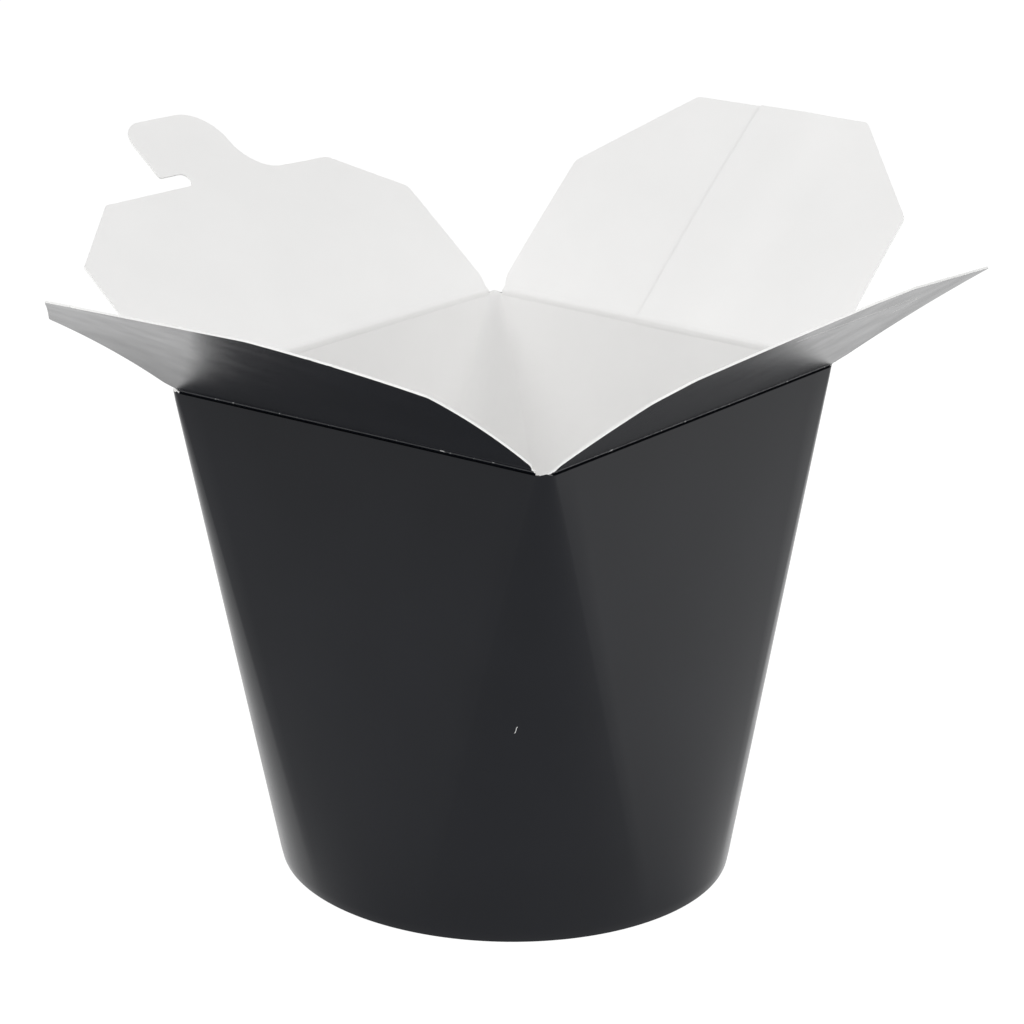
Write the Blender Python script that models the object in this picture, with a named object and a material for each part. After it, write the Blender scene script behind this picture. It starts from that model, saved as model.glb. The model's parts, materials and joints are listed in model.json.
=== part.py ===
"""Round-based noodle takeaway box of coated paperboard, open, with four hinged top flaps.

Metres, +Z up, origin at the bottom centre of the whole open box. The rim's long sides run
along X: the tongue flap is on the +Y side and the slot flap on the -Y side. Each flap's object
has its origin on its own crease: local X runs along the crease, local Y across the flap, and
local Z out of the white inner face.
"""

import math

import bmesh
import bpy
from mathutils import Matrix, Vector

for leftover in list(bpy.data.objects):
    bpy.data.objects.remove(leftover, do_unlink=True)

# Driving dimensions
RIM_TONGUE_SIDE = 0.1023  # outside of the open rim along its +Y side
RIM_SLOT_SIDE = 0.0969  # the same along its -Y side: the open rim has spread a little
RIM_DEPTH = 0.0880  # outside of the rim along Y
HEIGHT = 0.1002  # creases above the standing ring
BASE_RADIUS = 0.0456  # outside of the round foot
BOARD = 0.0004  # one layer of coated paperboard
RIM_CORNER = 0.0026  # corner radius of the rim
FIT_GAP = 0.0003  # between pieces that touch in the real box

# Walls
FLAT_SHARE = math.radians(15.0)  # half of the foot's arc that each flat wall runs down to
CORNER_STEPS = 8
CREASE_DROP = 0.00065  # wall's top edge below the crease axis
WALL_ROWS = (0.060, 0.030, 0.0085, 0.0045)

# Glued side seam, in the middle of the +X wall and its flap
SEAM_START = -0.0062
SEAM_END = 0.0050
SEAM_RAMP = 0.0018
SEAM_STEP = 0.00005

# Recessed bottom: the wall's lower edge turns in and up round the bottom's flange
HEM_HEIGHT = 0.0060
HEM_THICKNESS = 2 * BOARD + BOARD + 2 * FIT_GAP
FOOT_ROUND = 0.00035
FLOOR_UNDERSIDE = HEM_HEIGHT + FIT_GAP + 0.0001

# Flaps
ROOT_GAP = 0.0006  # flap's root from the crease axis
ROOT_INSET = 0.0010  # the root is narrower than the flap on each side
ROOT_FLARE = 0.0035
DUST_WIDTH = 0.0846
DUST_SHOULDER = 0.0355
DUST_LENGTH = 0.0576
PLAIN_LONGER = 1.10  # the plain dust flap's length over the seam one's
DUST_TIP_WIDTH = 0.0436
TONGUE_FLAP_WIDTH = 0.0996
TONGUE_SHOULDER = 0.0300
TONGUE_EDGE = 0.0426  # straight edge of the tongue flap
TONGUE_TIP_WIDTH = 0.0672
SLOT_FLAP_WIDTH = 0.0963
BEND_STRIPS = 6
ARC_STEPS = 8

# How far each flap stands open above the horizontal, at its crease, and how far its end droops
PLAIN_OPEN, PLAIN_DROOP = math.radians(36.4), 0.0072
SEAM_OPEN, SEAM_DROOP = math.radians(44.6), 0.0024
SLOT_OPEN, SLOT_DROOP = math.radians(39.6), 0.0024
TONGUE_OPEN, TONGUE_DROOP = math.radians(40.3), 0.0008

collection = bpy.data.collections.new("noodle_takeaway_box")
bpy.context.scene.collection.children.link(collection)
cutters = bpy.data.collections.new("cutters")
bpy.context.scene.collection.children.link(cutters)


def coated_board(name, colour, roughness):
    material = bpy.data.materials.new(name)
    material.use_nodes = True
    shader = material.node_tree.nodes["Principled BSDF"]
    shader.inputs["Base Color"].default_value = (*colour, 1.0)
    shader.inputs["Roughness"].default_value = roughness
    shader.inputs["Metallic"].default_value = 0.0
    return material


BLACK = coated_board("black_outer_coating", (0.030, 0.032, 0.035), 0.38)
WHITE = coated_board("white_inner_coating", (0.80, 0.80, 0.79), 0.50)


def add_object(name, mesh, smooth_angle=math.radians(20)):
    for material in (WHITE, BLACK):
        mesh.materials.append(material)
    mesh.shade_smooth()
    mesh.set_sharp_from_angle(angle=smooth_angle)
    piece = bpy.data.objects.new(name, mesh)
    collection.objects.link(piece)
    return piece


# ---- sleeve: one sheet wrapped into the four walls, round at the foot and square at the rim

RIM_CORNERS = (
    Vector((RIM_SLOT_SIDE / 2, -RIM_DEPTH / 2)),
    Vector((RIM_TONGUE_SIDE / 2, RIM_DEPTH / 2)),
    Vector((-RIM_TONGUE_SIDE / 2, RIM_DEPTH / 2)),
    Vector((-RIM_SLOT_SIDE / 2, -RIM_DEPTH / 2)),
)
PLUS_X, PLUS_Y, MINUS_X, MINUS_Y = range(4)  # the walls, each after the rim corner it starts at


def wall_line(wall):
    """(middle, direction, half length) of one side of the rim, anticlockwise from above."""
    start = RIM_CORNERS[wall % 4]
    end = RIM_CORNERS[(wall + 1) % 4]
    return (start + end) / 2, (end - start).normalized(), (end - start).length / 2


def corner_reach(wall):
    """Length that the corner's round takes from each side, at the corner that starts a wall."""
    turn = wall_line(wall - 1)[1].angle(wall_line(wall)[1])
    return RIM_CORNER * math.tan(turn / 2)


def seam_thickness(along):
    """Board thickness of the +X wall at a distance along it: doubled where the ends overlap."""
    if along <= SEAM_START - SEAM_RAMP or along >= SEAM_END + SEAM_STEP:
        return BOARD
    if along < SEAM_START:
        return BOARD * (1 + (along - SEAM_START + SEAM_RAMP) / SEAM_RAMP)
    if along > SEAM_END:
        return BOARD * (1 + (SEAM_END + SEAM_STEP - along) / SEAM_STEP)
    return 2 * BOARD


def wall_stations(first, last, has_seam):
    """Distances along one flat wall from its middle, from one corner's round to the next."""
    stations = [first, 0.7 * first, 0.4 * first, 0.4 * last, 0.7 * last, last]
    if has_seam:
        seam = [SEAM_START - SEAM_RAMP, SEAM_START, SEAM_END, SEAM_END + SEAM_STEP]
        stations[3:3] = seam
    else:
        stations[3:3] = [0.0]
    return stations


def foot_angle(along, reach):
    """Angle round the foot, from the wall's middle, under a station of the flat wall."""
    seam_zone = 0.010
    zone_angle = seam_zone / BASE_RADIUS
    if abs(along) <= seam_zone:
        return along / BASE_RADIUS
    share = (abs(along) - seam_zone) / (abs(reach) - seam_zone)
    return math.copysign(zone_angle + share * (FLAT_SHARE - zone_angle), along)


def wall_columns():
    """(rim point, foot direction, board thickness) for each column, anticlockwise from +X."""
    columns = []
    for wall in (PLUS_X, PLUS_Y, MINUS_X, MINUS_Y):
        middle, tangent, half = wall_line(wall)
        first = corner_reach(wall) - half
        last = half - corner_reach(wall + 1)
        turn = wall * math.pi / 2
        for along in wall_stations(first, last, wall == PLUS_X):
            angle = turn + foot_angle(along, last if along > 0 else first)
            thickness = seam_thickness(along) if wall == PLUS_X else BOARD
            columns.append((middle + tangent * along, angle, thickness))
        inward = Vector((-tangent.y, tangent.x))
        centre = middle + tangent * last + inward * RIM_CORNER
        following = wall_line(wall + 1)[1]
        foot_span = math.pi / 2 - 2 * FLAT_SHARE
        for step in range(1, CORNER_STEPS):
            share = step / CORNER_STEPS
            direction = (-inward).slerp(Vector((following.y, -following.x)), share)
            angle = turn + FLAT_SHARE + share * foot_span
            columns.append((centre + direction * RIM_CORNER, angle, BOARD))
    return columns


COLUMNS = wall_columns()


def rim_share(z):
    """How far the wall has gone from the round foot, 0, to the square rim, 1."""
    return z / HEIGHT


def section(z, inset=0.0, follow_seam=False):
    """The wall's outline at a height, moved inwards by inset or by the board's own thickness."""
    share = rim_share(z)
    outline = []
    for point, angle, _ in COLUMNS:
        foot = Vector((math.cos(angle), math.sin(angle))) * BASE_RADIUS
        outline.append(foot.lerp(point, share))
    moved = []
    for index, point in enumerate(outline):
        before = outline[index - 1]
        after = outline[(index + 1) % len(outline)]
        edge = (after - before).normalized()
        inward = Vector((-edge.y, edge.x))
        depth = COLUMNS[index][2] if follow_seam else inset
        moved.append(point + inward * depth)
    return [Vector((point.x, point.y, z)) for point in moved]


def loft(name, loops, black_loops):
    """A closed ring-shaped skin through loops, the last joined to the first."""
    bm = bmesh.new()
    rings = [[bm.verts.new(point) for point in loop] for loop in loops]
    count = len(rings[0])
    for index, ring in enumerate(rings):
        following = rings[(index + 1) % len(rings)]
        for column in range(count):
            beside = (column + 1) % count
            face = bm.faces.new((ring[column], following[column], following[beside], ring[beside]))
            face.material_index = 1 if index in black_loops else 0
    bmesh.ops.recalc_face_normals(bm, faces=bm.faces)
    mesh = bpy.data.meshes.new(name)
    bm.to_mesh(mesh)
    bm.free()
    return mesh


def make_sleeve():
    top = HEIGHT - CREASE_DROP
    loops = [section(z) for z in (top, *WALL_ROWS, FOOT_ROUND)]
    outside = len(loops)
    loops.append(section(0.0, FOOT_ROUND))
    loops.append(section(0.0, HEM_THICKNESS - FOOT_ROUND))
    loops.append(section(FOOT_ROUND, HEM_THICKNESS))
    loops.append(section(HEM_HEIGHT, HEM_THICKNESS))
    loops.append(section(HEM_HEIGHT, HEM_THICKNESS - BOARD))
    loops.append(section(BOARD, HEM_THICKNESS - BOARD))
    loops.append(section(BOARD, BOARD))
    loops.append(section(HEM_HEIGHT, BOARD))
    inner_rows = sorted(WALL_ROWS)[1:]
    loops.extend(section(z, follow_seam=True) for z in (*inner_rows, top))
    return add_object("sleeve", loft("sleeve", loops, range(outside + 3)))


def make_base():
    """Round bottom with a flange turned down into the hem."""
    outer = BOARD + FIT_GAP
    inner = outer + BOARD
    flange_foot = BOARD + FIT_GAP + 0.0001
    floor_top = FLOOR_UNDERSIDE + BOARD
    loops = [
        section(floor_top, outer),
        section(HEM_HEIGHT / 2, outer),
        section(flange_foot, outer),
        section(flange_foot, inner),
        section(HEM_HEIGHT / 2, inner),
        section(FLOOR_UNDERSIDE, inner),
    ]
    bm = bmesh.new()
    rings = [[bm.verts.new(point) for point in loop] for loop in loops]
    count = len(COLUMNS)
    for ring, following in zip(rings, rings[1:]):
        for column in range(count):
            beside = (column + 1) % count
            bm.faces.new((ring[column], following[column], following[beside], ring[beside]))
    bm.faces.new(rings[0])
    bm.faces.new(rings[-1])
    bmesh.ops.recalc_face_normals(bm, faces=bm.faces)
    mesh = bpy.data.meshes.new("base")
    bm.to_mesh(mesh)
    bm.free()
    return add_object("base", mesh)


# ---- flaps: outlines in the flap's own plane, x along the crease and y away from it


def arc(centre, radius, start_deg, end_deg):
    """Points of an arc, both ends included."""
    points = []
    for step in range(ARC_STEPS + 1):
        angle = math.radians(start_deg + (end_deg - start_deg) * step / ARC_STEPS)
        points.append((centre[0] + radius * math.cos(angle), centre[1] + radius * math.sin(angle)))
    return points


def root(width, side):
    """The two points where one side of a flap narrows to its crease."""
    edge = side * width / 2
    return [(edge - side * ROOT_INSET, ROOT_GAP), (edge, ROOT_FLARE)]


def flap_outline(width, tip):
    """Outline anticlockwise from the crease's -x end, given its points from +x round to -x."""
    right = root(width, 1)
    left = root(width, -1)
    return [left[0], right[0], right[1], *tip, left[1]]


def dust_outline(longer=1.0):
    half, tip_half = DUST_WIDTH / 2, DUST_TIP_WIDTH / 2
    tip = [
        (half, DUST_SHOULDER * longer),
        (tip_half, DUST_LENGTH * longer),
        (-tip_half, DUST_LENGTH * longer),
        (-half, DUST_SHOULDER * longer),
    ]
    return flap_outline(DUST_WIDTH, tip)


def slot_outline():
    """Blunt-pointed flap, longer at its -x end."""
    half = SLOT_FLAP_WIDTH / 2
    tip = [(half, 0.0275), (0.0435, 0.0345), (0.0030, 0.0473), (-0.0080, 0.0487), (-half, 0.0408)]
    return flap_outline(SLOT_FLAP_WIDTH, tip)


def slit_outline():
    """Lock slit of the slot flap: straight, with its -x end turned back towards the crease."""
    slit_width = 0.0004
    straight_end, straight_y = 0.0150, 0.0370
    turn_centre, turn_radius = (-0.0255, 0.0328), 0.0042
    outer = arc(turn_centre, turn_radius, 90, 235)
    inner = arc(turn_centre, turn_radius - slit_width, 235, 90)
    return [(straight_end, straight_y - slit_width), (straight_end, straight_y), *outer, *inner]


def tongue_outline():
    """Straight-edged flap with a hooked locking tongue, undercut on its -x side."""
    half, tip_half = TONGUE_FLAP_WIDTH / 2, TONGUE_TIP_WIDTH / 2
    sweep_radius = 0.0090
    crown_radius = 0.0090
    shoulder_radius = 0.0055
    lip_radius = 0.0008
    notch_radius = 0.0017
    sweep_centre = (0.0195, TONGUE_EDGE + sweep_radius)
    crown_centre = (sweep_centre[0] - sweep_radius - crown_radius, sweep_centre[1])
    crown_top = crown_centre[1] + crown_radius
    hook_side = -0.0152
    shoulder_centre = (hook_side + shoulder_radius, crown_top - shoulder_radius)
    notch_centre = (-0.0094, TONGUE_EDGE + notch_radius)
    lip_bottom = notch_centre[1] + notch_radius
    lip_centre = (hook_side + lip_radius, lip_bottom + lip_radius)
    tip = [(half, TONGUE_SHOULDER), (tip_half, TONGUE_EDGE - 0.0004)]
    tip += arc(sweep_centre, sweep_radius, 270, 180)
    tip += arc(crown_centre, crown_radius, 0, 90)[1:]
    tip += arc(shoulder_centre, shoulder_radius, 90, 180)
    tip += arc(lip_centre, lip_radius, 180, 270)
    tip += arc(notch_centre, notch_radius, 90, -90)
    tip += [(-tip_half, TONGUE_EDGE), (-half, TONGUE_SHOULDER)]
    return flap_outline(TONGUE_FLAP_WIDTH, tip)


def plate(name, outlines, thickness, base=0.0):
    """A flat outline, with any holes after it, made a mesh of one thickness."""
    curve = bpy.data.curves.new(name, "CURVE")
    curve.dimensions = "2D"
    curve.fill_mode = "BOTH"
    curve.extrude = thickness / 2
    for outline in outlines:
        spline = curve.splines.new("POLY")
        spline.points.add(len(outline) - 1)
        for point, (x, y) in zip(spline.points, outline):
            point.co = (x, y, 0.0, 1.0)
        spline.use_cyclic_u = True
    flat = bpy.data.objects.new(name, curve)
    bpy.context.scene.collection.objects.link(flat)
    graph = bpy.context.evaluated_depsgraph_get()
    mesh = bpy.data.meshes.new_from_object(flat.evaluated_get(graph))
    bpy.data.objects.remove(flat, do_unlink=True)
    bm = bmesh.new()
    bm.from_mesh(mesh)
    bmesh.ops.translate(bm, verts=bm.verts, vec=(0.0, 0.0, base))
    bmesh.ops.remove_doubles(bm, verts=bm.verts, dist=0.00001)
    bmesh.ops.recalc_face_normals(bm, faces=bm.faces)
    bm.to_mesh(mesh)
    bm.free()
    mesh.materials.clear()
    return mesh


def bend(mesh, droop, length):
    """Droops the far end of a flap away from its white face, in strips across it."""
    bm = bmesh.new()
    bm.from_mesh(mesh)
    for strip in range(1, BEND_STRIPS):
        geometry = bm.verts[:] + bm.edges[:] + bm.faces[:]
        at = Vector((0.0, length * strip / BEND_STRIPS, 0.0))
        bmesh.ops.bisect_plane(bm, geom=geometry, plane_co=at, plane_no=(0.0, 1.0, 0.0))
    for vert in bm.verts:
        vert.co.z -= droop * (vert.co.y / length) ** 2
    bm.to_mesh(mesh)
    bm.free()


def paint_outside(mesh):
    """Black on the face that is outside when the box is shut, white board everywhere else."""
    for polygon in mesh.polygons:
        polygon.material_index = 1 if polygon.normal.z < -0.5 else 0


def place_flap(piece, wall, open_angle):
    """Puts a flap's origin on the crease axis of its wall."""
    middle, tangent, _ = wall_line(wall)
    outward = Vector((tangent.y, -tangent.x, 0.0))
    up = Vector((0.0, 0.0, 1.0))
    origin = middle.to_3d() - outward * BOARD / 2 + up * HEIGHT
    across = outward * math.cos(open_angle) + up * math.sin(open_angle)
    along = outward.cross(up)
    frame = Matrix((along, across, along.cross(across))).transposed()
    piece.matrix_world = Matrix.Translation(origin) @ frame.to_4x4()


def make_flap(name, outlines, wall, open_angle, droop):
    mesh = plate(name, outlines, BOARD)
    if droop:
        bend(mesh, droop, max(y for _, y in outlines[0]))
    piece = add_object(name, mesh)
    paint_outside(mesh)
    place_flap(piece, wall, open_angle)
    return piece


def make_seam_flap():
    """The seam runs on through this flap, so a second layer lies on part of its white face."""
    name = "dust_flap_seam"
    piece = make_flap(name, [dust_outline()], PLUS_X, SEAM_OPEN, SEAM_DROOP)
    overlap = 0.0001
    lap = [
        (-SEAM_END, 2 * ROOT_GAP),
        (-SEAM_START, 2 * ROOT_GAP),
        (-SEAM_START, DUST_LENGTH - overlap),
        (-SEAM_END + 0.0012, DUST_LENGTH - overlap),
    ]
    mesh = plate("second_layer", [lap], BOARD + overlap, base=BOARD - overlap / 2)
    bend(mesh, SEAM_DROOP, DUST_LENGTH)
    layer = bpy.data.objects.new("second_layer", mesh)
    layer.matrix_world = piece.matrix_world.copy()
    layer.hide_render = True
    layer.display_type = "WIRE"
    cutters.objects.link(layer)
    union = piece.modifiers.new("second layer", "BOOLEAN")
    union.operation = "UNION"
    union.solver = "EXACT"
    union.object = layer
    return piece


def stand_on_origin():
    """Moves every piece so that the origin is at the bottom centre of the whole open box."""
    bpy.context.view_layer.update()
    points = [piece.matrix_world @ v.co for piece in collection.objects for v in piece.data.vertices]
    low = Vector(min(point[axis] for point in points) for axis in range(3))
    high = Vector(max(point[axis] for point in points) for axis in range(3))
    middle = (low + high) / 2
    shift = Matrix.Translation((-middle.x, -middle.y, -low.z))
    for piece in [*collection.objects, *cutters.objects]:
        piece.matrix_world = shift @ piece.matrix_world


make_sleeve()
make_base()
make_flap("dust_flap_plain", [dust_outline(PLAIN_LONGER)], MINUS_X, PLAIN_OPEN, PLAIN_DROOP)
make_seam_flap()
make_flap("slot_flap", [slot_outline(), slit_outline()], MINUS_Y, SLOT_OPEN, SLOT_DROOP)
make_flap("tongue_flap", [tongue_outline()], PLUS_Y, TONGUE_OPEN, TONGUE_DROOP)
stand_on_origin()
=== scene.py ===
import json
import math

import bmesh
import bpy
from mathutils import Matrix, Vector


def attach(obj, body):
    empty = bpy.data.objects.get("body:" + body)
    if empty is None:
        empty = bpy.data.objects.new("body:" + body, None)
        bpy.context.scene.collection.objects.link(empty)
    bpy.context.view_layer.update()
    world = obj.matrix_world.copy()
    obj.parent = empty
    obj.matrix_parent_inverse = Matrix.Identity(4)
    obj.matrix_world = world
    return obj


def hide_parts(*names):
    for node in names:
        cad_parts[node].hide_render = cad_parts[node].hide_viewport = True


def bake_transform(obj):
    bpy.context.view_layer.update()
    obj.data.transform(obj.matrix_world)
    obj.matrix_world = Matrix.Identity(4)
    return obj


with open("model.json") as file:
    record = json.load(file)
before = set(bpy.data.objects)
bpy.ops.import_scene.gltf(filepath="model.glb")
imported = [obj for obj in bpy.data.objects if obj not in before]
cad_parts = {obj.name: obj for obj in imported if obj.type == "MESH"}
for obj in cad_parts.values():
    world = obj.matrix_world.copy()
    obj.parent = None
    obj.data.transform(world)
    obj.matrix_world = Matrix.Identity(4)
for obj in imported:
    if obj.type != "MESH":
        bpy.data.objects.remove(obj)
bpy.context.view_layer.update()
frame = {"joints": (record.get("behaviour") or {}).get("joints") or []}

# ---- Sleeve -------------------------------------------------------------------------------
# One blank of solid bleached board, coated black outside and white inside, wrapped round into
# the four walls. It is round at the foot and square at the rim, so each corner is part of a
# cone. The rim of an open box has spread a little towards the tongue side.

hinges = {joint["child"]: joint for joint in frame["joints"]}
crease_z = hinges["slot_flap"]["pos_m"][2]
centre = Vector(
    (
        (hinges["dust_flap_plain"]["pos_m"][0] + hinges["dust_flap_seam"]["pos_m"][0]) / 2,
        (hinges["slot_flap"]["pos_m"][1] + hinges["tongue_flap"]["pos_m"][1]) / 2,
        0.0,
    )
)

board = 0.0004
tongue_side = 0.1023
slot_side = 0.0969
rim_depth = 0.0880
rim_corner = 0.0026
foot_radius = 0.0456
wall_below_crease = 0.00072
wall_top = crease_z - wall_below_crease
corner_cuts = 32
wall_cuts = 16
wall_rows = 48
hem_height = 0.0060
hem_thickness = 0.0018
board_smooth = math.radians(28)
same_point = 1e-6
same_height = 1e-5
shortest_side = 0.02


def deselect():
    if bpy.context.mode != "OBJECT":
        bpy.ops.object.mode_set(mode="OBJECT")
    bpy.ops.object.select_all(action="DESELECT")


def take(piece):
    """Makes the piece the only one selected, and the active one."""
    deselect()
    bpy.context.view_layer.objects.active = piece
    piece.select_set(True)


def edit(piece):
    take(piece)
    bpy.ops.object.mode_set(mode="EDIT")
    bpy.ops.mesh.select_all(action="DESELECT")


def pick(piece, kind, wanted):
    """Selects the vertices, edges or faces of the piece in edit mode that pass the test."""
    mesh = bmesh.from_edit_mesh(piece.data)
    modes = {"verts": "VERT", "edges": "EDGE", "faces": "FACE"}
    bpy.ops.mesh.select_mode(type=modes[kind])
    bpy.ops.mesh.select_all(action="DESELECT")
    for element in getattr(mesh, kind):
        if wanted(element):
            element.select_set(True)
    mesh.select_flush_mode()
    bmesh.update_edit_mesh(piece.data)


def apply_modifier(piece, kind, **settings):
    take(piece)
    modifier = piece.modifiers.new(kind, kind)
    for key, value in settings.items():
        setattr(modifier, key, value)
    bpy.ops.object.modifier_apply(modifier=modifier.name)


deselect()
bpy.ops.mesh.primitive_plane_add(size=1.0, location=(centre.x, centre.y, wall_top))
sleeve = bpy.context.object
sleeve.name = "sleeve_board"
edit(sleeve)
bpy.ops.mesh.select_all(action="SELECT")
bpy.ops.transform.resize(value=(tongue_side, rim_depth, 1.0), center_override=sleeve.location)
pick(sleeve, "verts", lambda v: v.co.y < 0)
bpy.ops.transform.resize(value=(slot_side / tongue_side, 1.0, 1.0), center_override=sleeve.location)
bpy.ops.mesh.select_all(action="SELECT")
bpy.ops.mesh.bevel(offset=rim_corner, segments=corner_cuts, affect="VERTICES", profile=0.5)
bpy.ops.mesh.select_all(action="SELECT")
bpy.ops.mesh.delete(type="ONLY_FACE")
pick(sleeve, "edges", lambda e: e.calc_length() > shortest_side)
bpy.ops.mesh.subdivide(number_cuts=wall_cuts - 1)

deselect()
ring_points = 4 * (corner_cuts + wall_cuts)
bpy.ops.mesh.primitive_circle_add(
    vertices=ring_points, radius=foot_radius, location=(centre.x, centre.y, 0.0)
)
sleeve.select_set(True)
bpy.context.view_layer.objects.active = sleeve
bpy.ops.object.join()
bpy.ops.object.transform_apply(location=True, rotation=True, scale=True)
edit(sleeve)
bpy.ops.mesh.select_mode(type="EDGE")
bpy.ops.mesh.select_all(action="SELECT")
bpy.ops.mesh.bridge_edge_loops(number_cuts=wall_rows - 1, interpolation="LINEAR")
bpy.ops.object.mode_set(mode="OBJECT")

# The wall's outline at the height of the bottom, as a radius for each direction.
floor_over_hem = 0.0008
floor_z = hem_height + floor_over_hem
nearest_row = wall_top / wall_rows
bottom_line = []
for vertex in sleeve.data.vertices:
    if abs(vertex.co.z - nearest_row * round(floor_z / nearest_row)) < same_height:
        flat = (vertex.co - centre).to_2d()
        bottom_line.append((math.atan2(flat.y, flat.x), flat.length))
bottom_line.sort()


def wall_radius(angle):
    """The wall's distance from the box's middle at the bottom, in one direction."""
    lowest, highest = bottom_line[0], bottom_line[-1]
    ringed = [(highest[0] - math.tau, highest[1]), *bottom_line, (lowest[0] + math.tau, lowest[1])]
    for (low_angle, low_radius), (high_angle, high_radius) in zip(ringed, ringed[1:]):
        if low_angle <= angle <= high_angle:
            share = (angle - low_angle) / max(high_angle - low_angle, 1e-9)
            return low_radius + share * (high_radius - low_radius)
    return lowest[1]


# At each corner the top edge rises a little between the roots of the two flaps, and dips in
# the middle where the board is split.
corner_rise = 0.0006
for vertex in sleeve.data.vertices:
    if vertex.co.z > wall_top - same_height:
        flat = vertex.co - centre
        wall_x = slot_side / 2 + (tongue_side - slot_side) / 2 * (flat.y / rim_depth + 0.5)
        from_corner = max(wall_x - abs(flat.x), rim_depth / 2 - abs(flat.y))
        if from_corner < rim_corner:
            vertex.co.z += corner_rise * math.sin(math.pi / 2 * (1 - from_corner / rim_corner)) ** 2

# The blank's ends overlap in the middle of the +X wall and are glued there. The outer end stops
# at -6 mm along the wall and the inner end at +5 mm, each with its white cut edge showing.
seam_outer_end = -0.0060
seam_inner_end = 0.0050
seam_edge = 0.00006
seam_settle = 0.0120
seam_settle_steps = 6
seam_fade = 0.0040
seam_wall_from = 0.025
seam_wall_half = 0.020


def on_seam_wall(point):
    return point.x > centre.x + seam_wall_from and abs(point.y - centre.y) < seam_wall_half


seam_lines = [
    seam_outer_end - seam_settle * step / seam_settle_steps for step in range(1, seam_settle_steps + 1)
]
seam_lines += [seam_outer_end - seam_edge, seam_outer_end, seam_inner_end, seam_inner_end + seam_edge]
for along in seam_lines:
    edit(sleeve)
    pick(sleeve, "faces", lambda f: on_seam_wall(f.calc_center_median()))
    bpy.ops.mesh.bisect(
        plane_co=(centre.x, centre.y + along, 0.0), plane_no=(0.0, 1.0, 0.0), threshold=same_point
    )

# The lower edge is turned in and up all round, over the bottom's flange.
edit(sleeve)
pick(sleeve, "verts", lambda v: v.co.z < same_height)
foot_fold = 0.00035
fold_ease = foot_fold * 0.3
for inset, height in (
    (0.0, foot_fold),
    (fold_ease, fold_ease),
    (foot_fold, 0.0),
    (hem_thickness - foot_fold, 0.0),
    (hem_thickness - fold_ease, fold_ease),
    (hem_thickness, foot_fold),
    (hem_thickness, hem_height / 2),
    (hem_thickness, hem_height),
):
    if inset or height != foot_fold:
        bpy.ops.mesh.extrude_region_move()
    mesh = bmesh.from_edit_mesh(sleeve.data)
    for vertex in mesh.verts:
        if vertex.select:
            flat = (vertex.co - centre).to_2d().normalized() * (foot_radius - inset)
            vertex.co = centre + Vector((flat.x, flat.y, height))
    bmesh.update_edit_mesh(sleeve.data)
bpy.ops.mesh.select_all(action="SELECT")
bpy.ops.mesh.remove_doubles(threshold=same_point)
bpy.ops.mesh.normals_make_consistent(inside=False)
bpy.ops.object.mode_set(mode="OBJECT")


def new_material(name, colour, roughness, specular):
    material = bpy.data.materials.new(name)
    material.use_nodes = True
    nodes = material.node_tree.nodes
    shader = nodes["Principled BSDF"]
    shader.inputs["Base Color"].default_value = (*colour, 1.0)
    shader.inputs["Roughness"].default_value = roughness
    shader.inputs["Specular IOR Level"].default_value = specular
    return material, nodes, material.node_tree.links, shader


def noise(nodes, links, source, scale, detail, stretch=(1.0, 1.0, 1.0)):
    """Fine noise over the surface at its real size, in metres."""
    mapping = nodes.new("ShaderNodeMapping")
    mapping.inputs["Scale"].default_value = stretch
    links.new(source.outputs["Object"], mapping.inputs["Vector"])
    texture = nodes.new("ShaderNodeTexNoise")
    texture.inputs["Scale"].default_value = scale
    texture.inputs["Detail"].default_value = detail
    links.new(mapping.outputs["Vector"], texture.inputs["Vector"])
    return texture


def ramp(nodes, links, source, stops):
    """Turns a pattern's strength into a colour, or into a grey level for roughness."""
    node = nodes.new("ShaderNodeValToRGB")
    for stop, (position, colour) in zip(node.color_ramp.elements, stops):
        stop.position = position
        stop.color = (*colour, 1.0)
    for position, colour in stops[2:]:
        node.color_ramp.elements.new(position).color = (*colour, 1.0)
    links.new(source, node.inputs["Fac"])
    return node


def add_bump(nodes, links, shader, height, strength, distance):
    bump = nodes.new("ShaderNodeBump")
    bump.inputs["Strength"].default_value = strength
    bump.inputs["Distance"].default_value = distance
    links.new(height, bump.inputs["Height"])
    links.new(bump.outputs["Normal"], shader.inputs["Normal"])


# Satin black coating: a fine, slightly grainy skin over paper, cool rather than neutral.
black = (0.0052, 0.0062, 0.0090)
black_low, black_high = (0.0044, 0.0052, 0.0078), (0.0062, 0.0071, 0.0102)
black_coat, nodes, links, shader = new_material("satin_black_coating", black, 0.21, 0.18)
place = nodes.new("ShaderNodeTexCoord")
clouds = noise(nodes, links, place, 38.0, 4.0)
tint = ramp(nodes, links, clouds.outputs["Fac"], [(0.30, black_low), (0.70, black_high)])
links.new(tint.outputs["Color"], shader.inputs["Base Color"])
smear = noise(nodes, links, place, 120.0, 5.0)
gloss = ramp(nodes, links, smear.outputs["Fac"], [(0.25, (0.19,) * 3), (0.75, (0.25,) * 3)])
links.new(gloss.outputs["Color"], shader.inputs["Roughness"])
skin = noise(nodes, links, place, 3200.0, 3.0)
add_bump(nodes, links, shader, skin.outputs["Fac"], 0.12, 0.00003)

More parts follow.
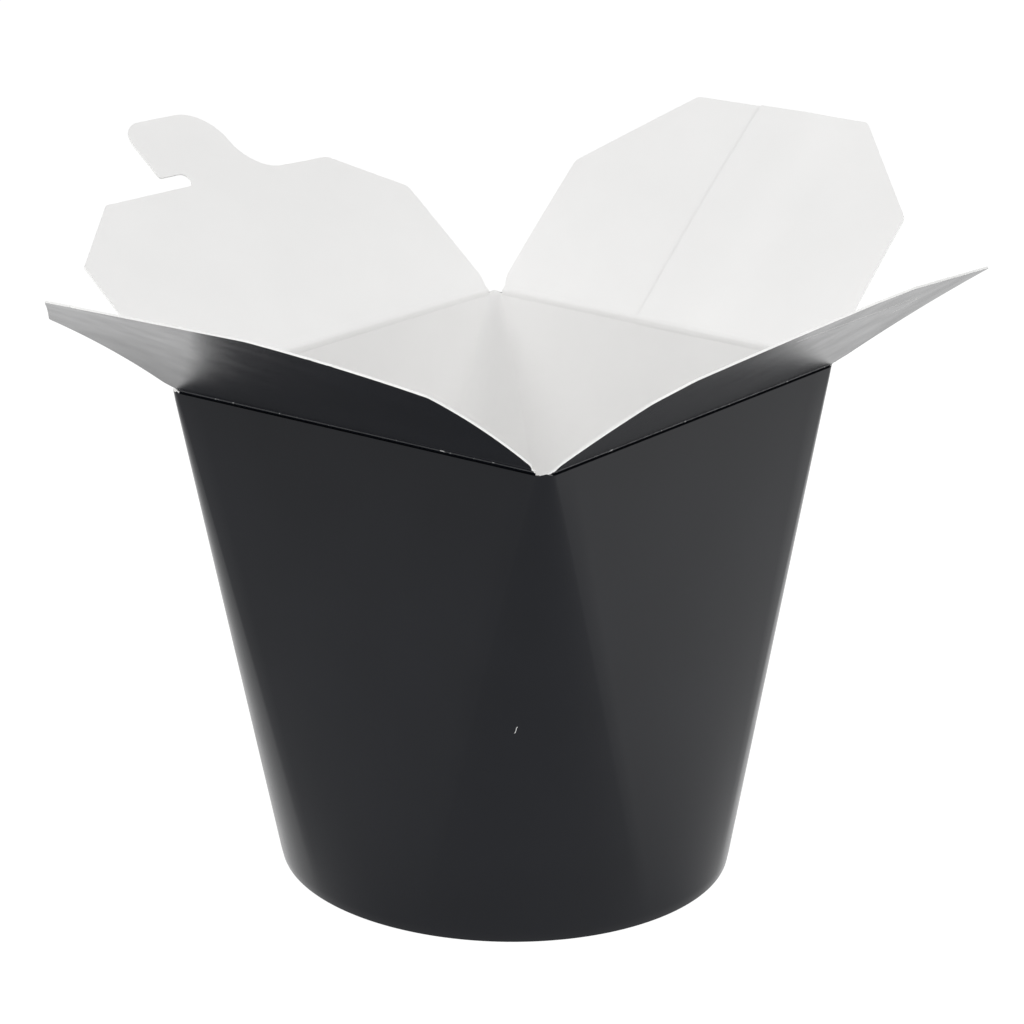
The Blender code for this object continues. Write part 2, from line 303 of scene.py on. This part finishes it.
# White inner coating: bleached board under a thin semi-matt film, very faintly mottled.
white = (0.92, 0.918, 0.91)
white_low, white_high = (0.910, 0.906, 0.899), (0.930, 0.926, 0.919)
white_coat, nodes, links, shader = new_material("semi_matt_white_coating", white, 0.48, 0.30)
place = nodes.new("ShaderNodeTexCoord")
clouds = noise(nodes, links, place, 55.0, 5.0)
tint = ramp(nodes, links, clouds.outputs["Fac"], [(0.30, white_low), (0.70, white_high)])
links.new(tint.outputs["Color"], shader.inputs["Base Color"])
fibres = noise(nodes, links, place, 900.0, 4.0, (1.0, 1.0, 0.35))
add_bump(nodes, links, shader, fibres.outputs["Fac"], 0.10, 0.00004)

# Cut edge: the board's bare white core, with its layers showing as a slight roughness.
core = (0.86, 0.86, 0.85)
core_low, core_high = (0.80, 0.80, 0.785), (0.90, 0.90, 0.895)
cut_edge, nodes, links, shader = new_material("bare_cut_board", core, 0.85, 0.20)
place = nodes.new("ShaderNodeTexCoord")
layers = noise(nodes, links, place, 2500.0, 3.0)
tint = ramp(nodes, links, layers.outputs["Fac"], [(0.25, core_low), (0.75, core_high)])
links.new(tint.outputs["Color"], shader.inputs["Base Color"])
add_bump(nodes, links, shader, layers.outputs["Fac"], 0.25, 0.00004)

# On a crease's outer ridge the black coating has cracked through to the white board in a few
# specks; the ridge's dark grey, lighter than the black coat, is a painted highlight.
ridge_highlight_grey = (0.012, 0.013, 0.016)
cracked_coat_painted_highlight, nodes, links, shader = new_material("cracked_coating_painted_highlight", ridge_highlight_grey, 0.30, 0.25)
place = nodes.new("ShaderNodeTexCoord")
cracks = noise(nodes, links, place, 620.0, 3.0)
# A dark grey painted highlight, then white specks where the coating has cracked.
crack_and_highlight_stops = [
    (0.30, (0.008, 0.009, 0.012)),
    (0.640, (0.017, 0.018, 0.021)),
    (0.660, (0.30, 0.30, 0.30)),
    (0.75, (0.55, 0.55, 0.54)),
]
tint = ramp(nodes, links, cracks.outputs["Fac"], crack_and_highlight_stops)
links.new(tint.outputs["Color"], shader.inputs["Base Color"])
wear = ramp(nodes, links, cracks.outputs["Fac"], [(0.40, (0.26,) * 3), (0.66, (0.60,) * 3)])
links.new(wear.outputs["Color"], shader.inputs["Roughness"])
add_bump(nodes, links, shader, cracks.outputs["Fac"], 0.35, 0.00006)


def coat(piece):
    """Gives the piece the board's four finishes: black 0, white 1, cut edge 2, cracked crease ridge with
    painted highlight 3.
    """
    piece.data.materials.clear()
    for material in (black_coat, white_coat, cut_edge, cracked_coat_painted_highlight):
        piece.data.materials.append(material)


coat(sleeve)
apply_modifier(sleeve, "SOLIDIFY", thickness=board, offset=-1.0, material_offset=1, material_offset_rim=2)


def seam_lift(along, inner):
    """How far the board stands in from, or back from, the wall's plain line at the seam."""
    if inner and along > seam_outer_end - seam_edge:
        return board if along < seam_inner_end + seam_edge / 2 else 0.0
    if along > seam_outer_end - seam_edge / 2:
        return 0.0
    share = min(1.0, (seam_outer_end - along) / seam_settle)
    return board * (1 - share * share * (3 - 2 * share))


mesh = sleeve.data
sides = {}
for polygon in mesh.polygons:
    for index in polygon.vertices:
        sides.setdefault(index, set()).add(polygon.material_index)
shifts = {}
for index, kinds in sides.items():
    point = mesh.vertices[index].co
    if on_seam_wall(point) and point.z > hem_height:
        fade = min(1.0, (point.z - hem_height) / seam_fade)
        lift = seam_lift(point.y - centre.y, 1 in kinds)
        shifts[index] = fade * lift
for index, shift in shifts.items():
    mesh.vertices[index].co.x -= shift
for polygon in mesh.polygons:
    if abs(polygon.normal.y) > 0.9 and on_seam_wall(polygon.center):
        polygon.material_index = 2
    elif wall_top - same_height < polygon.center.z < wall_top + corner_rise / 4:
        polygon.material_index = 0

take(sleeve)
bpy.ops.object.shade_smooth_by_angle(angle=board_smooth)
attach(sleeve, "box")
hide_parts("sleeve")

# A hair-fine scuff in the coating, half way down one corner.
scuff_height = 0.0475
scuff_turn = math.radians(-141.5)
scuff_radius = 0.00005
scuff_handle = 0.0004
scuff_ends = ((-0.0003, -0.0006), (0.0003, 0.0007))
clear_of_box = 0.2
outward = Vector((math.cos(scuff_turn), math.sin(scuff_turn), 0.0))
sideways = Vector((-outward.y, outward.x, 0.0))
deselect()
bpy.ops.curve.primitive_bezier_curve_add(radius=0.001)
scuff = bpy.context.object
scuff.name = "corner_scuff"
for point, (across, rise) in zip(scuff.data.splines[0].bezier_points, scuff_ends):
    start = centre + outward * clear_of_box + sideways * across + Vector((0.0, 0.0, scuff_height + rise))
    hit = sleeve.ray_cast(start, -outward)[1]
    for side, lean in (("handle_left", -1.0), ("handle_right", 1.0)):
        setattr(point, side + "_type", "FREE")
        setattr(point, side, hit + sideways * lean * scuff_handle)
    point.co = hit
scuff.location = (0.0, 0.0, 0.0)
scuff.data.bevel_depth = scuff_radius
scuff.data.bevel_resolution = 2
scuff.data.resolution_u = 12
bpy.ops.object.convert(target="MESH")
scuff = bpy.context.object
scuff.data.materials.clear()
scuff.data.materials.append(cut_edge)
bpy.ops.object.shade_smooth()
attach(scuff, "box")

# ---- Bottom -------------------------------------------------------------------------------
# A separate round of white board, pressed up into the foot with its edge turned down into the
# folded hem and sealed there, so that it stands clear of the table.

disc_gap = 0.0001
disc_radius = foot_radius - board - disc_gap
disc_steps = (0.0006, 0.0012, 0.0040, 0.0080, 0.0120)
flange_depth = 0.0055
flange_bend = 0.0008
below_bend = 0.0005
bottom_smooth = math.radians(40)
deselect()
bpy.ops.mesh.primitive_circle_add(
    vertices=ring_points, radius=disc_radius, fill_type="NGON", location=(centre.x, centre.y, floor_z)
)
bottom = bpy.context.object
bottom.name = "bottom_disc"
bpy.ops.object.transform_apply(location=True, rotation=True, scale=True)
edit(bottom)
bpy.ops.mesh.select_all(action="SELECT")
for step in disc_steps:
    bpy.ops.mesh.inset(thickness=step)
mesh = bmesh.from_edit_mesh(bottom.data)
for vertex in mesh.verts:
    flat = (vertex.co - centre).to_2d()
    if flat.length > disc_radius / 2:
        reach = wall_radius(math.atan2(flat.y, flat.x)) - foot_radius
        flat = flat.normalized() * (flat.length + reach)
        vertex.co.x, vertex.co.y = centre.x + flat.x, centre.y + flat.y
bmesh.update_edit_mesh(bottom.data)


def spot(vertex):
    return tuple(round(c, 6) for c in vertex.co)


pick(bottom, "edges", lambda e: e.is_boundary)
rim_edges = [e for e in bmesh.from_edit_mesh(bottom.data).edges if e.select]
rim_points = {spot(vertex) for e in rim_edges for vertex in e.verts}
bpy.ops.mesh.extrude_region_move(TRANSFORM_OT_translate={"value": (0.0, 0.0, -flange_depth)})
mesh = bmesh.from_edit_mesh(bottom.data)
for vertex in mesh.verts:
    if vertex.co.z < floor_z - below_bend:
        flat = (vertex.co - centre).to_2d()
        reach = (flat.length - disc_radius) * vertex.co.z / floor_z
        flat = flat.normalized() * (disc_radius + reach)
        vertex.co.x, vertex.co.y = centre.x + flat.x, centre.y + flat.y
bmesh.update_edit_mesh(bottom.data)
pick(bottom, "edges", lambda e: all(spot(v) in rim_points for v in e.verts))
bpy.ops.mesh.bevel(offset=flange_bend, segments=5)
bpy.ops.object.mode_set(mode="OBJECT")
edit(bottom)
bpy.ops.mesh.select_all(action="SELECT")
bpy.ops.mesh.normals_make_consistent(inside=False)
bpy.ops.object.mode_set(mode="OBJECT")
apply_modifier(bottom, "SOLIDIFY", thickness=board, offset=-1.0)
bottom.data.materials.append(white_coat)
take(bottom)
bpy.ops.object.shade_smooth_by_angle(angle=bottom_smooth)
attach(bottom, "box")
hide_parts("base")

# ---- Plain dust flap ----------------------------------------------------------------------
# One of the two narrow flaps that fold in first. It is one piece with its wall, die cut with
# white edges and bent out along a pressed crease; its free end has curled outwards a little.

flap_root = 0.0010
root_inset = 0.0010
root_flare = 0.0035
corner_round = 0.0009
grid_cell = 0.0018
twist_span = 0.042
crease_smooth = math.radians(60)
crease_lengths = 60
bead_end = 0.003


def flap_place(name, open_angle):
    """Turns a flap drawn flat, x along its crease and y away from it, into its open place."""
    hinge = hinges[name]
    along = Vector(hinge["axis"])
    up = Vector((0.0, 0.0, 1.0))
    outward = up.cross(along)
    across = outward * math.cos(open_angle) + up * math.sin(open_angle)
    turn = Matrix((along, across, along.cross(across))).transposed()
    return Matrix.Translation(Vector(hinge["pos_m"])) @ turn.to_4x4()


def rounded(corners, radius, steps=4):
    """An outline with each corner rounded off by a small arc."""
    outline = []
    for index, corner in enumerate(corners):
        corner = Vector(corner)
        before = Vector(corners[index - 1]) - corner
        after = Vector(corners[(index + 1) % len(corners)]) - corner
        reach = min(radius, before.length * 0.4, after.length * 0.4)
        first = corner + before.normalized() * reach
        last = corner + after.normalized() * reach
        for step in range(steps + 1):
            share = step / steps
            point = first * (1 - share) ** 2 + corner * 2 * share * (1 - share) + last * share**2
            outline.append((point.x, point.y))
    return outline


def cut_sheet(name, outlines, half_width, length, cell=grid_cell):
    """A flat sheet of board cut to its outline, less any holes: a grid trimmed by a die."""
    margin = 2 * cell
    columns = int(2 * (half_width + margin) / cell)
    rows = int((length + margin) / cell)
    deselect()
    bpy.ops.mesh.primitive_grid_add(x_subdivisions=columns, y_subdivisions=rows, size=1.0)
    sheet = bpy.context.object
    sheet.name = name
    edit(sheet)
    bpy.ops.mesh.select_all(action="SELECT")
    bpy.ops.transform.resize(value=(2 * (half_width + margin), length + 2 * margin, 1.0))
    bpy.ops.transform.translate(value=(0.0, length / 2, 0.0))
    bpy.ops.object.mode_set(mode="OBJECT")
    apply_modifier(sheet, "SOLIDIFY", thickness=board, offset=0.0)
    for index, outline in enumerate(outlines):
        curve = bpy.data.curves.new("die", "CURVE")
        curve.dimensions = "2D"
        curve.fill_mode = "BOTH"
        curve.extrude = 0.002
        line = curve.splines.new("POLY")
        line.points.add(len(outline) - 1)
        for point, (x, y) in zip(line.points, outline):
            point.co = (x, y, 0.0, 1.0)
        line.use_cyclic_u = True
        die = bpy.data.objects.new("die", curve)
        bpy.context.scene.collection.objects.link(die)
        take(die)
        bpy.ops.object.convert(target="MESH")
        edit(die)
        bpy.ops.mesh.select_all(action="SELECT")
        bpy.ops.mesh.remove_doubles(threshold=same_point)
        bpy.ops.mesh.normals_make_consistent(inside=False)
        bpy.ops.object.mode_set(mode="OBJECT")
        operation = "DIFFERENCE" if index else "INTERSECT"
        apply_modifier(sheet, "BOOLEAN", operation=operation, solver="EXACT", object=die)
        bpy.data.objects.remove(die, do_unlink=True)
    coat(sheet)
    for polygon in sheet.data.polygons:
        if polygon.normal.z > 0.5:
            polygon.material_index = 1
        elif polygon.normal.z < -0.5:
            polygon.material_index = 0
        else:
            polygon.material_index = 2
    return sheet


def finish_sheet(sheet, name, open_angle, droop, length, twist):
    """Curls and twists a flat sheet, puts it in its place and lets it ride on its own flap."""
    for vertex in sheet.data.vertices:
        vertex.co.z -= droop * (vertex.co.y / length) ** 2 - twist * vertex.co.x * vertex.co.y
    sheet.data.transform(flap_place(name, open_angle))
    take(sheet)
    bpy.ops.object.shade_smooth_by_angle(angle=board_smooth)
    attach(sheet, name)
    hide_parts(name)


def flap_outline(half, tip):
    root = half - root_inset
    return [(-root, flap_root), (root, flap_root), (half, root_flare), *tip, (-half, root_flare)]


def crease_roll(name, flap, open_angle, half, wall_half, has_seam=False):
    """The pressed crease: a groove and a thin ridge outside and a soft bead inside."""
    lean = Vector((math.cos(open_angle), math.sin(open_angle)))
    out = Vector((-lean.y, lean.x))
    mm = 0.001

    def on_flap(distance, offset):
        return lean * distance * mm + out * offset * mm

    black_side = [
        Vector((-0.13, -0.80)) * mm,
        Vector((-0.15, -0.40)) * mm,
        Vector((0.00, -0.27)) * mm,
        Vector((0.22, -0.20)) * mm,
        Vector((0.35, -0.10)) * mm,
        Vector((0.37, 0.03)) * mm,
        Vector((0.40, 0.12)) * mm,
        on_flap(0.65, -0.225),
        on_flap(1.0, -0.22),
        on_flap(1.5, -0.21),
        on_flap(2.0, -0.18),
    ]
    white_side = [
        on_flap(2.4, 0.18),
        on_flap(1.9, 0.22),
        on_flap(1.4, 0.29),
        on_flap(0.95, 0.37),
        on_flap(0.45, 0.49),
        Vector((-0.12, 0.40)) * mm,
        Vector((-0.26, 0.18)) * mm,
        Vector((-0.30, -0.12)) * mm,
        Vector((-0.295, -0.50)) * mm,
        Vector((-0.27, -0.90)) * mm,
        Vector((-0.12, -1.45)) * mm,
    ]
    profile = black_side + white_side
    deselect()
    bpy.ops.mesh.primitive_circle_add(vertices=len(profile), radius=0.001)
    roll = bpy.context.object
    roll.name = name
    for vertex, point in zip(roll.data.vertices, profile):
        vertex.co = Vector((-half, point.x, point.y))
    edit(roll)
    bpy.ops.mesh.select_all(action="SELECT")
    bpy.ops.mesh.edge_face_add()
    for step in range(crease_lengths):
        bpy.ops.mesh.extrude_region_move(
            TRANSFORM_OT_translate={"value": (2 * half / crease_lengths, 0.0, 0.0)}
        )
    if has_seam:
        for along in seam_lines[-4:]:
            bpy.ops.mesh.select_all(action="SELECT")
            bpy.ops.mesh.bisect(plane_co=(-along, 0.0, 0.0), plane_no=(1.0, 0.0, 0.0), threshold=same_point)
    bpy.ops.mesh.select_all(action="SELECT")
    bpy.ops.mesh.normals_make_consistent(inside=False)
    bpy.ops.object.mode_set(mode="OBJECT")
    coat(roll)

    def key(across, rise):
        return round(across * 1e7), round(rise * 1e7)

    black_keys = {key(point.x, point.y) for point in black_side}
    ridge_keys = {key(point.x, point.y) for point in black_side[3:8]}
    white_points = set()
    for polygon in roll.data.polygons:
        corners = [roll.data.vertices[index].co for index in polygon.vertices]
        keys = {key(point.y, point.z) for point in corners}
        if abs(polygon.normal.x) > 0.9:
            polygon.material_index = 2
        elif keys <= ridge_keys:
            # The outer ridge gets the cracked coating, whose grey is a painted highlight.
            polygon.material_index = 3
        elif keys <= black_keys:
            polygon.material_index = 0
        else:
            polygon.material_index = 1
            white_points |= set(polygon.vertices)
    if has_seam:
        for index in white_points:
            point = roll.data.vertices[index].co
            if key(point.y, point.z) not in black_keys:
                share = min(1.0, max(0.0, (point.z / mm + 0.6) / 1.2))
                push = Vector((-1.0, 0.0)).lerp(out, share).normalized() * seam_lift(-point.x, True)
                point.y += push.x
                point.z += push.y
    # The bead dies away towards both ends.
    for index in white_points:
        point = roll.data.vertices[index].co
        near_end = min(1.0, max(0.0, 1.0 - (half - abs(point.x)) / bead_end))
        above = (point.y * out.x + point.z * out.y) / mm - 0.18
        if point.z > -0.3 * mm and above > 0:
            point.y -= out.x * above * near_end * mm
            point.z -= out.y * above * near_end * mm
    # The ends of the wall's part follow the rim's round corners.
    straight = wall_half - rim_corner
    for vertex in roll.data.vertices:
        past = abs(vertex.co.x) - straight
        if past > 0:
            share = min(1.0, max(0.0, (0.3 - vertex.co.z / mm) / 0.6))
            vertex.co.y -= share * past**2 / (2 * rim_corner)
    hinge = hinges[flap]
    along = Vector(hinge["axis"])
    up = Vector((0.0, 0.0, 1.0))
    turn = Matrix((along, up.cross(along), up)).transposed()
    axis_place = Matrix.Translation(Vector(hinge["pos_m"])) @ turn.to_4x4()
    roll.data.transform(axis_place)
    if turn.determinant() < 0:
        roll.data.flip_normals()
    take(roll)
    bpy.ops.object.shade_smooth_by_angle(angle=crease_smooth)
    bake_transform(roll)


dust_half = 0.0423
dust_shoulder = 0.0355
dust_length = 0.0576
dust_tip = 0.0218
plain_longer = 1.10
tag_root = 0.00055
tag_half = 0.00025
tag_height = 0.00040


def dust_outline(longer):
    tip = [
        (dust_half, dust_shoulder * longer),
        (dust_tip, dust_length * longer),
        (-dust_tip, dust_length * longer),
        (-dust_half, dust_shoulder * longer),
    ]
    return flap_outline(dust_half, tip)


def nicked(corners, edge, share):
    """The outline with one of the small tags where a blank was held in its sheet."""
    first, last = Vector(corners[edge]), Vector(corners[edge + 1])
    run = (last - first).normalized()
    out = Vector((run.y, -run.x))
    at = first.lerp(last, share)
    tag = [
        at - run * tag_root,
        at - run * tag_half + out * tag_height,
        at + run * tag_half + out * tag_height,
        at + run * tag_root,
    ]
    return [*corners[: edge + 1], *(tuple(point) for point in tag), *corners[edge + 1 :]]


plain_length = dust_length * plain_longer
plain_corners = nicked(dust_outline(plain_longer), 5, 0.46)
plain_corners = nicked(plain_corners, 4, 0.14)
plain_corners = nicked(plain_corners, 4 + 5, 0.78)
plain_open = math.radians(36.4)
plain_droop = 0.0072
plain_twist = math.radians(-0.53) / twist_span
plain_outline = rounded(plain_corners, corner_round)
plain_flap = cut_sheet("plain_dust_flap", [plain_outline], dust_half, plain_length)
finish_sheet(plain_flap, "dust_flap_plain", plain_open, plain_droop, plain_length, plain_twist)
crease_roll("plain_dust_crease", "dust_flap_plain", plain_open, dust_half - root_inset, rim_depth / 2)

# ---- Seam dust flap -----------------------------------------------------------------------
# The other narrow flap. The glued seam runs on through it, so two layers overlap in its middle
# and the inner layer's cut edge crosses its white face.

seam_open = math.radians(44.6)
seam_droop = 0.0024
seam_twist = math.radians(0.42) / twist_span
seam_outline = rounded(dust_outline(1.0), corner_round)
seam_flap = cut_sheet("seam_dust_flap", [seam_outline], dust_half, dust_length)
for along in seam_lines:
    edit(seam_flap)
    bpy.ops.mesh.select_all(action="SELECT")
    bpy.ops.mesh.bisect(plane_co=(-along, 0.0, 0.0), plane_no=(1.0, 0.0, 0.0), threshold=same_point)
bpy.ops.object.mode_set(mode="OBJECT")
sides = {}
for polygon in seam_flap.data.polygons:
    for index in polygon.vertices:
        sides.setdefault(index, set()).add(polygon.material_index)
for index, kinds in sides.items():
    point = seam_flap.data.vertices[index].co
    inner = 1 in kinds or (kinds == {2} and point.z > 0)
    point.z += seam_lift(-point.x, inner)
seam_flap.data.update()
for polygon in seam_flap.data.polygons:
    if abs(polygon.normal.x) > 0.9:
        polygon.material_index = 2
finish_sheet(seam_flap, "dust_flap_seam", seam_open, seam_droop, dust_length, seam_twist)
crease_roll(
    "seam_dust_crease", "dust_flap_seam", seam_open, dust_half - root_inset, rim_depth / 2, has_seam=True
)

# ---- Slot flap ----------------------------------------------------------------------------
# The blunt-pointed closing flap. A fine slit, turned back at one end, takes the hooked tongue.

slot_half = 0.04815
slot_length = 0.0487
slot_open = math.radians(39.6)
slot_droop = 0.0024
slot_twist = math.radians(0.22) / twist_span
slot_outline = rounded(
    flap_outline(
        slot_half,
        [
            (slot_half, 0.0275),
            (0.0435, 0.0345),
            (0.0030, 0.0473),
            (-0.0080, 0.0487),
            (-slot_half, 0.0408),
        ],
    ),
    corner_round,
)


def arc(centre_x, centre_y, radius, start, end, steps=10):
    points = []
    for step in range(steps + 1):
        angle = math.radians(start + (end - start) * step / steps)
        points.append((centre_x + radius * math.cos(angle), centre_y + radius * math.sin(angle)))
    return points


slit_width = 0.0003
slit_y = 0.0370
slit_end = 0.0150
slit_turn = (-0.0255, 0.0328)
slit_round = slit_y - slit_turn[1]
slit = [
    (slit_end, slit_y - slit_width),
    (slit_end, slit_y),
    *arc(*slit_turn, slit_round, 90, 235),
    *arc(*slit_turn, slit_round - slit_width, 235, 90),
]
slot_flap = cut_sheet("slot_flap_board", [slot_outline, slit], slot_half, slot_length)
finish_sheet(slot_flap, "slot_flap", slot_open, slot_droop, slot_length, slot_twist)
crease_roll("slot_flap_crease", "slot_flap", slot_open, slot_half - root_inset, slot_side / 2)

# ---- Tongue flap --------------------------------------------------------------------------
# The straight-edged closing flap, whose hooked tongue is undercut on one side so that it locks
# behind the slit of the slot flap.

tongue_half = 0.0498
tongue_edge = 0.0426
tongue_top = tongue_edge + 0.0180
tongue_shoulder = 0.0300
tongue_corner = 0.0336
tongue_start = 0.0195
tongue_sweep = 0.0090
hook_x = -0.0152
hook_round = 0.0055
hook_point = 0.0008
undercut_x = -0.0094
undercut_round = 0.0017
straight_side = rounded(
    [
        (-tongue_half + root_inset, flap_root),
        (tongue_half - root_inset, flap_root),
        (tongue_half, root_flare),
        (tongue_half, tongue_shoulder),
        (tongue_corner, tongue_edge - 0.0004),
        (tongue_start, tongue_edge),
    ],
    corner_round,
)[5:-5]
tongue_outline = [
    *straight_side,
    *arc(tongue_start, tongue_edge + tongue_sweep, tongue_sweep, 270, 180),
    *arc(0.0015, tongue_edge + tongue_sweep, tongue_sweep, 0, 90)[1:],
    *arc(hook_x + hook_round, tongue_top - hook_round, hook_round, 90, 180),
    *arc(hook_x + hook_point, tongue_edge + 0.0042, hook_point, 180, 270, 4),
    *arc(undercut_x, tongue_edge + undercut_round, undercut_round, 90, -90),
    (-tongue_corner, tongue_edge),
    (-tongue_half, tongue_shoulder),
    (-tongue_half, root_flare),
    (-tongue_half + root_inset, flap_root),
]
tongue_open = math.radians(40.3)
tongue_droop = 0.0008
tongue_twist = math.radians(-0.41) / twist_span
tongue_flap = cut_sheet("tongue_flap_board", [tongue_outline], tongue_half, tongue_top)
finish_sheet(tongue_flap, "tongue_flap", tongue_open, tongue_droop, tongue_top, tongue_twist)
crease_roll(
    "tongue_flap_crease", "tongue_flap", tongue_open, tongue_half - root_inset, tongue_side / 2
)

# ---- Studio -------------------------------------------------------------------------------
# A wide pale table that glows evenly, so that no shadow lies on it, under three soft white
# lamps and a white sky.

table_glow = 0.96
sky_strength = 0.32
lamp_size = 0.7
lamp_aim = (0.0, 0.0, 0.08)

deselect()
bpy.ops.mesh.primitive_plane_add(size=12.0, location=(0.0, 0.0, 0.0))
table = bpy.context.object
table.name = "table"
white_table, nodes, links, shader = new_material("white_table", (0.15, 0.15, 0.15), 0.9, 0.1)
shader.inputs["Emission Color"].default_value = (1.0, 1.0, 1.0, 1.0)
shader.inputs["Emission Strength"].default_value = table_glow
table.data.materials.append(white_table)

world = bpy.data.worlds.new("studio")
bpy.context.scene.world = world
world.use_nodes = True
world.node_tree.nodes["Background"].inputs["Color"].default_value = (1.0, 1.0, 1.0, 1.0)
world.node_tree.nodes["Background"].inputs["Strength"].default_value = sky_strength


def soft_lamp(name, location, power):
    lamp = bpy.data.lights.new(name, "AREA")
    lamp.shape = "SQUARE"
    lamp.size = lamp_size
    lamp.energy = power
    lamp.color = (1.0, 1.0, 1.0)
    holder = bpy.data.objects.new(name, lamp)
    bpy.context.scene.collection.objects.link(holder)
    holder.location = location
    holder.rotation_euler = (Vector(lamp_aim) - Vector(location)).to_track_quat("-Z", "Y").to_euler()


soft_lamp("key", (-0.90, -0.68, 0.96), 4.7)
soft_lamp("left_fill", (-1.00, 0.42, 0.96), 6.3)
soft_lamp("right_fill", (0.25, -1.08, 0.96), 6.5)

camera_azimuth = math.radians(-53.229)
camera_elevation = math.radians(18.413)
camera_roll = math.radians(1.025)
camera_lens = 106.79
camera_right = 0.00056
camera_up = 0.02046
camera_distance = 0.60799
aim_height = 0.05
back = Vector(
    (
        math.sin(camera_azimuth) * math.cos(camera_elevation),
        -math.cos(camera_azimuth) * math.cos(camera_elevation),
        math.sin(camera_elevation),
    )
)
level = Vector((math.cos(camera_azimuth), math.sin(camera_azimuth), 0.0))
raised = back.cross(level)
right = level * math.cos(camera_roll) + raised * math.sin(camera_roll)
over = raised * math.cos(camera_roll) - level * math.sin(camera_roll)
camera_data = bpy.data.cameras.new("camera")
camera_data.lens = camera_lens
camera_data.sensor_width = 36.0
camera_data.clip_end = 50.0
camera = bpy.data.objects.new("camera", camera_data)
bpy.context.scene.collection.objects.link(camera)
aim = centre + Vector((0.0, 0.0, aim_height))
stand = aim + right * camera_right + over * camera_up + back * camera_distance
facing = Matrix((right, over, back)).transposed().to_4x4()
camera.matrix_world = Matrix.Translation(stand) @ facing
bpy.context.scene.camera = camera
bpy.context.scene.view_settings.view_transform = "Standard"
